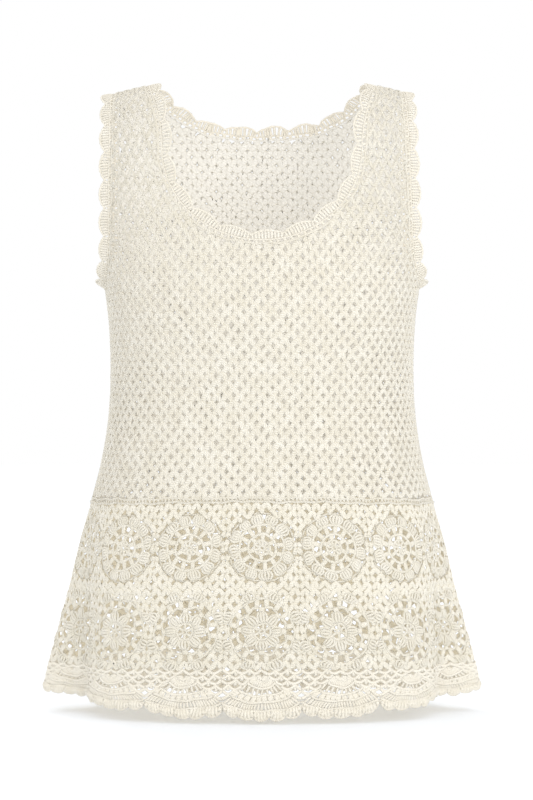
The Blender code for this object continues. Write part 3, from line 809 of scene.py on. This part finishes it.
def placed_fan(column):
    """Placing for a hem piece, whose length shrinks towards the sides, where the hem rises."""
    def place(offset, level):
        across = GIRTH * (column / COLUMNS + offset / (COLUMNS * LOWER_PITCH))
        share = side_share(across / GIRTH)
        top = EDGING_TOP - SIDE_DROP * share
        bottom = HEM + HEM_RISE * share ** HEM_RISE_POWER
        height = top + (level - EDGING_TOP) * (bottom - top) / (HEM - EDGING_TOP)
        return body_frame(*uneven(across, height))
    return place


# Edgings of the neck and the armholes, drawn as scallops along a ring.
EDGING_STEPS = 16             # places of the ring in one scallop
EDGING_BEND = EDGING_ROOT * 0.8  # over this width a leaning edging bends
EDGING_POINTS = 12            # points of a round in one scallop
EDGING_ROUND = 0.0040         # the round that the ribs start from
FEET = 5                      # feet and ribs in one scallop
RIBS = 10
RIB_FOOT_SPREAD = 0.92        # the ribs' feet lie a little closer than their tips


def edging_ring(stretches, scallops):
    """Even points, directions along, into the hole and out of the cloth, on a closed edge."""
    joined = []
    for place, flat in stretches:
        position, normal = place(flat[:, 0], flat[:, 1])
        joined.append(np.concatenate([position, normal], 1)[:-1])
    joined = np.concatenate(joined)
    even = evenly(np.concatenate([joined, joined[:1]]), scallops * EDGING_STEPS, 3)[:-1]
    base, out = even[:, :3], unit(even[:, 3:])
    along = unit(np.roll(base, -2, axis=0) - np.roll(base, 2, axis=0))
    into = unit(np.cross(out, along))
    if np.einsum("ij,ij->i", into, base.mean(axis=0) - base).sum() < 0:
        into = -into
    return base, along, into, out


def edging_place(stretches, scallops, flare):
    """Placing for an edging: across counts scallops along the ring, height is metres off the edge.

    The band leaves the edge in the cloth's own plane. With a flare it bends and leans outwards.
    """
    base, along, into, out = edging_ring(stretches, scallops)
    lean = into
    if flare is not None:
        lean = unit(ARM_INTO_HOLE * into + ARM_SIDEWAYS * np.array(flare))
    lean_out = np.cross(along, lean)
    lean_out = unit(lean_out * np.sign(np.einsum("ij,ij->i", lean_out, out))[:, None])
    table = np.concatenate([base, into, lean, out, lean_out], 1)
    table = np.concatenate([table, table[:1]])

    def place(scallop, away):
        column = (scallop % scallops) * EDGING_STEPS
        low = np.minimum(column.astype(int), scallops * EDGING_STEPS - 1)
        part = (column - low)[:, None]
        row = table[low] * (1 - part) + table[low + 1] * part
        point, inward, leaning, outward, leaning_out = np.split(row, 5, axis=1)
        bent = np.clip(away / EDGING_BEND, 0.0, 1.0)[:, None]
        first = inward * (1.0 - bent / 2) + leaning * bent / 2
        point = point + first * np.minimum(away, EDGING_BEND)[:, None]
        point = point + leaning * np.maximum(away - EDGING_BEND, 0.0)[:, None]
        return point, unit(outward * (1.0 - bent) + leaning_out * bent)
    return place


def scallop_edge(scallop):
    """Width of an edging: its root width and a round scallop."""
    return EDGING_ROOT + EDGING_SCALLOP * np.abs(np.sin(math.pi * scallop)) ** 0.8


def edging(scallops):
    """Feet with small gaps between, a round on them, ribs that spread to each scallop, and a rim."""
    row = np.arange(scallops * EDGING_POINTS) / EDGING_POINTS
    swell = 1.0 + 0.2 * np.cos(np.arange(len(row)) * math.pi)
    strands = [strand(row, np.full(len(row), EDGING_ROUND), 0.0004, 0.0009 * swell, 0.0007 * swell,
                      True),
               strand(row, scallop_edge(row), 0.0002, 0.0011 * swell, 0.0008 * swell, True)]
    for foot in np.arange(scallops * FEET) / FEET:
        strands.append(strand(np.array([foot, foot + 0.01, foot]),
                              np.array([EDGING_SEAM, 0.0024, EDGING_ROUND]), 0.0001,
                              wide=0.0019, thick=0.0006))
    way = np.linspace(0.0, 1.0, 5)
    for scallop in range(scallops):
        for share in (np.arange(RIBS) + 0.5) / RIBS - 0.5:
            foot = scallop + 0.5 + RIB_FOOT_SPREAD * share
            tip = scallop + 0.5 + share
            end = float(scallop_edge(tip))
            strands.append(strand(foot + (tip - foot) * way,
                                  EDGING_ROUND + (end - EDGING_ROUND) * way,
                                  0.0008 * np.sin(math.pi * way) ** 0.7, wide=0.0014, thick=0.0004))
    return laid(strands)


# Cotton: one effect for twist and fluff, placed in each finish with its own values.
FLUFF_SCALE = 2600.0


def make_cotton_twist():
    """Node group: plies that wind along the yarn map, fluff from fine noise, and slow tone changes.

    A ply's height is the sine of the winding times the length plus the plies times the way round.
    """
    group = bpy.data.node_groups.new("cotton_twist", "ShaderNodeTree")
    for label, value in (("Plies", 3.0), ("Winding", 4.0), ("Fluff", 0.5), ("Tone Size", 40.0)):
        socket = group.interface.new_socket(name=label, in_out="INPUT", socket_type="NodeSocketFloat")
        socket.default_value = value
    for label in ("Height", "Groove", "Tone"):
        group.interface.new_socket(name=label, in_out="OUTPUT", socket_type="NodeSocketFloat")
    nodes, links = group.nodes, group.links
    entry = nodes.new("NodeGroupInput")
    leave = nodes.new("NodeGroupOutput")
    yarn = nodes.new("ShaderNodeUVMap")
    yarn.uv_map = "yarn"
    parts = nodes.new("ShaderNodeSeparateXYZ")
    links.new(yarn.outputs["UV"], parts.inputs["Vector"])
    place = nodes.new("ShaderNodeTexCoord")

    def feed(socket, value):
        if isinstance(value, (int, float)):
            socket.default_value = value
        else:
            links.new(value, socket)

    def maths(operation, *values):
        node = nodes.new("ShaderNodeMath")
        node.operation = operation
        for socket, value in zip(node.inputs, values):
            feed(socket, value)
        return node.outputs[0]

    def noise(scale, detail):
        node = nodes.new("ShaderNodeTexNoise")
        links.new(place.outputs["Object"], node.inputs["Vector"])
        feed(node.inputs["Scale"], scale)
        node.inputs["Detail"].default_value = detail
        node.inputs["Roughness"].default_value = 0.6
        return node.outputs["Fac"]

    wind = maths("MULTIPLY", parts.outputs["X"], entry.outputs["Winding"])
    about = maths("MULTIPLY", parts.outputs["Y"], entry.outputs["Plies"])
    phase = maths("MULTIPLY", maths("ADD", wind, about), 2.0 * math.pi)
    ply = maths("MULTIPLY_ADD", maths("SINE", phase), 0.5, 0.5)
    fluff = maths("MULTIPLY", noise(FLUFF_SCALE, 3.0), entry.outputs["Fluff"])
    links.new(maths("ADD", ply, fluff), leave.inputs["Height"])
    # Groove is 1 between the plies: the finishes paint shade there and make the yarn rougher.
    links.new(maths("SUBTRACT", 1.0, ply), leave.inputs["Groove"])
    links.new(noise(entry.outputs["Tone Size"], 2.0), leave.inputs["Tone"])
    return group


def mixed(nodes, links, share, first, second):
    """Colour between two others by a share, the first one a colour or an output."""
    node = nodes.new("ShaderNodeMix")
    node.data_type = "RGBA"
    if isinstance(first, tuple):
        node.inputs["A"].default_value = first
    else:
        links.new(first, node.inputs["A"])
    node.inputs["B"].default_value = second
    links.new(share, node.inputs["Factor"])
    return node.outputs["Result"]


def cotton(name, light, shade, inside_shade, painted_glow, winding, tone_size):
    """Finish of one kind of yarn: tones between two creams, by painted shade in the grooves of the
    twist and by tone that changes at random, and on the side that faces into the body painted shade
    and a painted glow that stands in for light through the cloth."""
    material = bpy.data.materials.new(name)
    material.use_nodes = True
    nodes, links = material.node_tree.nodes, material.node_tree.links
    shader = nodes["Principled BSDF"]
    shader.inputs["Metallic"].default_value = 0.0
    shader.inputs["Sheen Weight"].default_value = 0.25
    shader.inputs["Sheen Roughness"].default_value = 0.45
    shader.inputs["Specular IOR Level"].default_value = 0.25
    # Strength of a painted glow: emission on the yarns' inner side that stands in for light coming
    # through the cloth.
    shader.inputs["Emission Strength"].default_value = 0.19
    twist = nodes.new("ShaderNodeGroup")
    twist.node_tree = cotton_twist
    twist.inputs["Winding"].default_value = winding
    twist.inputs["Tone Size"].default_value = tone_size
    # The ramp goes from the light cream to the shade cream by painted shade in the twist's grooves and
    # by tone that changes at random.
    share = nodes.new("ShaderNodeMath")
    share.operation = "MULTIPLY_ADD"
    links.new(twist.outputs["Groove"], share.inputs[0])
    share.inputs[1].default_value = 0.45
    links.new(twist.outputs["Tone"], share.inputs[2])
    ramp = nodes.new("ShaderNodeValToRGB")
    ramp.color_ramp.elements[0].position = 0.35
    ramp.color_ramp.elements[0].color = light
    ramp.color_ramp.elements[1].position = 1.0
    ramp.color_ramp.elements[1].color = shade
    links.new(share.outputs[0], ramp.inputs["Fac"])
    # Painted shade: the side of each yarn that faces into the body is mixed towards a darker colour
    # that stands in for shade between the layers.
    side = nodes.new("ShaderNodeAttribute")
    side.attribute_name = "inner_side"
    tone = mixed(nodes, links, side.outputs["Fac"], ramp.outputs["Color"], inside_shade)
    links.new(tone, shader.inputs["Base Color"])
    # Painted glow: only the inner side emits, as if lit through the cloth, though it is no lamp.
    glow = mixed(nodes, links, side.outputs["Fac"], (0.0, 0.0, 0.0, 1.0), painted_glow)
    links.new(glow, shader.inputs["Emission Color"])
    rough = nodes.new("ShaderNodeMapRange")
    rough.inputs["To Min"].default_value = 0.80
    rough.inputs["To Max"].default_value = 0.95
    links.new(twist.outputs["Groove"], rough.inputs["Value"])
    links.new(rough.outputs["Result"], shader.inputs["Roughness"])
    bump = nodes.new("ShaderNodeBump")
    bump.inputs["Strength"].default_value = 0.8
    bump.inputs["Distance"].default_value = 0.0005
    links.new(twist.outputs["Height"], bump.inputs["Height"])
    links.new(bump.outputs["Normal"], shader.inputs["Normal"])
    return material


cotton_twist = make_cotton_twist()
# In each finish the inside colour is painted shade and the glow colour is painted light, both on the
# yarns' inner side.
net_cotton = cotton("net_cotton", light=(0.890, 0.850, 0.755, 1.0), shade=(0.76, 0.705, 0.58, 1.0),
                    inside_shade=(0.735, 0.71, 0.655, 1.0), painted_glow=(1.0, 0.965, 0.90, 1.0),
                    winding=4.0, tone_size=80.0)
motif_cotton = cotton("motif_cotton", light=(0.915, 0.870, 0.770, 1.0),
                      shade=(0.80, 0.745, 0.61, 1.0), inside_shade=(0.76, 0.70, 0.57, 1.0),
                      painted_glow=(1.0, 0.92, 0.73, 1.0), winding=5.0, tone_size=90.0)
edging_cotton = cotton("edging_cotton", light=(0.955, 0.905, 0.800, 1.0),
                       shade=(0.89, 0.83, 0.70, 1.0), inside_shade=(0.78, 0.73, 0.63, 1.0),
                       painted_glow=(1.0, 0.94, 0.81, 1.0), winding=5.0, tone_size=80.0)


def finished(item, material, node):
    """Gives a piece its finish, and lets it stand for its solid."""
    item.data.materials.append(material)
    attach(item, "root")
    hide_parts(node)


# The pieces, each in place of its solid.
random = np.random.default_rng(SEED)

for name, back in (("front", False), ("back", True)):
    place = placed_back if back else placed_front
    net = yarn_mesh(name + "_net", place, laid(net_panel(back)), random)
    finished(net, net_cotton, name + "_body")

mirror = (-1.0, 1.0)
front_neck, back_neck = neck_path(False), neck_path(True)
neck_stretches = [(body_frame, front_neck), (body_frame, front_neck[::-1] * mirror),
                  (placed_back, back_neck * mirror), (placed_back, back_neck[::-1])]
neck_band = yarn_mesh("neck_band", edging_place(neck_stretches, NECK_SCALLOPS, None),
                      edging(NECK_SCALLOPS), random)
finished(neck_band, edging_cotton, "neck_edging")
for name, side, length in (("left", 1, 0.526), ("right", -1, 0.505)):
    stretches = [(body_frame, arm_path(False, side) * (side, 1.0)),
                 (placed_back, arm_path(True, side)[::-1] * (side, 1.0))]
    band = yarn_mesh(name + "_arm_band", edging_place(stretches, ARM_SCALLOPS, (side, 0.0, 0.0)),
                     edging(ARM_SCALLOPS), random)
    finished(band, edging_cotton, name + "_armhole_edging")

wheel = round_motif(WHEEL, WHEEL_NET, UPPER_PITCH, UPPER_CENTRE, WAIST, MIDDLE)
flower = round_motif(FLOWER, FLOWER_NET, LOWER_PITCH, LOWER_CENTRE, MIDDLE, EDGING_TOP)
fan = hem_piece()
for column in range(COLUMNS):
    number = "%02d" % (column + 1)
    twists = random.uniform(-MOST_TWIST, MOST_TWIST, 2)
    to_back = np.interp(math.cos(2.0 * math.pi * column / COLUMNS), (-1.0, 1.0), (1.0, 0.0))
    fuller = FRONT_FULLER + (np.array(BACK_FULLER) - FRONT_FULLER) * to_back
    place = placed_motif(column, UPPER_PITCH, UPPER_CENTRE, twists[0])
    item = yarn_mesh("wheel_motif_" + number, place, wheel, random, fuller[0])
    finished(item, motif_cotton, "upper_motif_" + number)
    place = placed_motif(column, LOWER_PITCH, LOWER_CENTRE, twists[1])
    item = yarn_mesh("flower_motif_" + number, place, flower, random, fuller[1])
    finished(item, motif_cotton, "lower_motif_" + number)
    item = yarn_mesh("shell_fan_" + number, placed_fan(column), fan, random, fuller[2])
    finished(item, edging_cotton, "hem_fan_" + number)

# Studio: a pale floor, a white surround, and broad soft lights.
FLOOR = HEM - 0.0028
FLOOR_RADIUS = 9.0
SURROUND_LIGHT = 1.06         # light from all round; the camera sees it as white
WHITE = (1.0, 1.0, 1.0, 1.0)
LIT_PLACE = (0.0, 0.0, -0.30)  # where both lights look
LIGHT_SIZE = 1.6


def floor_disc(radius, level):
    """Round floor: points of a grid of turns and distances, which grow with the step's square."""
    turns, steps = 96, 12
    turn = 2.0 * math.pi * np.arange(turns) / turns
    reach = radius * (np.arange(1, steps + 1) / steps) ** 2
    x = np.outer(reach, np.cos(turn)).ravel()
    y = np.outer(reach, np.sin(turn)).ravel()
    rings = np.stack([x, y, np.full(len(x), level)], 1)
    points = np.concatenate([[(0.0, 0.0, level)], rings])
    index = 1 + np.arange(turns * (steps - 1)).reshape(steps - 1, turns)
    ahead = np.roll(index, -1, axis=1)
    quads = np.stack([index, index + turns, ahead + turns, ahead], -1).reshape(-1, 4)
    inner = 1 + np.arange(turns)
    middle = np.stack([np.zeros(turns, dtype=int), inner, np.roll(inner, -1)], 1)
    mesh = bpy.data.meshes.new("floor")
    mesh.from_pydata(points.tolist(), [], middle.tolist() + quads.tolist())
    item = bpy.data.objects.new("floor", mesh)
    bpy.context.collection.objects.link(item)
    return item


def soft_light(name, place, power):
    """Square area light that looks at the lit place."""
    data = bpy.data.lights.new(name, "AREA")
    data.shape = "SQUARE"
    data.size = LIGHT_SIZE
    data.energy = power
    item = bpy.data.objects.new(name, data)
    item.location = place
    direction = np.array(LIT_PLACE) - np.array(place)
    level = math.hypot(direction[0], direction[1])
    item.rotation_euler = (math.pi / 2 + math.atan2(direction[2], level), 0.0,
                           math.atan2(direction[1], direction[0]) - math.pi / 2)
    bpy.context.collection.objects.link(item)


floor = floor_disc(FLOOR_RADIUS, FLOOR)
floor_paint = bpy.data.materials.new("floor_paint")
floor_paint.use_nodes = True
floor_shader = floor_paint.node_tree.nodes["Principled BSDF"]
floor_shader.inputs["Base Color"].default_value = (0.83, 0.855, 0.895, 1.0)
floor_shader.inputs["Roughness"].default_value = 0.9
floor_shader.inputs["Specular IOR Level"].default_value = 0.1
floor_shader.inputs["Emission Color"].default_value = WHITE
floor_shader.inputs["Emission Strength"].default_value = 0.13
floor.data.materials.append(floor_paint)

world = bpy.data.worlds.new("studio")
bpy.context.scene.world = world
world.use_nodes = True
surround = world.node_tree.nodes["Background"]
surround.inputs["Color"].default_value = WHITE
seen = world.node_tree.nodes.new("ShaderNodeLightPath")
strength = world.node_tree.nodes.new("ShaderNodeMapRange")
strength.inputs["To Min"].default_value = SURROUND_LIGHT
strength.inputs["To Max"].default_value = 1.0
world.node_tree.links.new(seen.outputs["Is Camera Ray"], strength.inputs["Value"])
world.node_tree.links.new(strength.outputs["Result"], surround.inputs["Strength"])
bpy.context.scene.view_settings.view_transform = "Standard"

soft_light("front_light", (1.5, -3.0, 0.2), 26.0)
soft_light("back_light", (-1.2, 2.6, 2.0), 24.0)

camera = bpy.data.objects.new("camera", bpy.data.cameras.new("camera"))
camera.data.lens = 108.0
camera.data.sensor_width = 36.0
camera.location = (0.0045, -2.4, -0.315)
camera.rotation_euler = (math.pi / 2, 0.0, 0.0)
bpy.context.collection.objects.link(camera)
bpy.context.scene.camera = camera
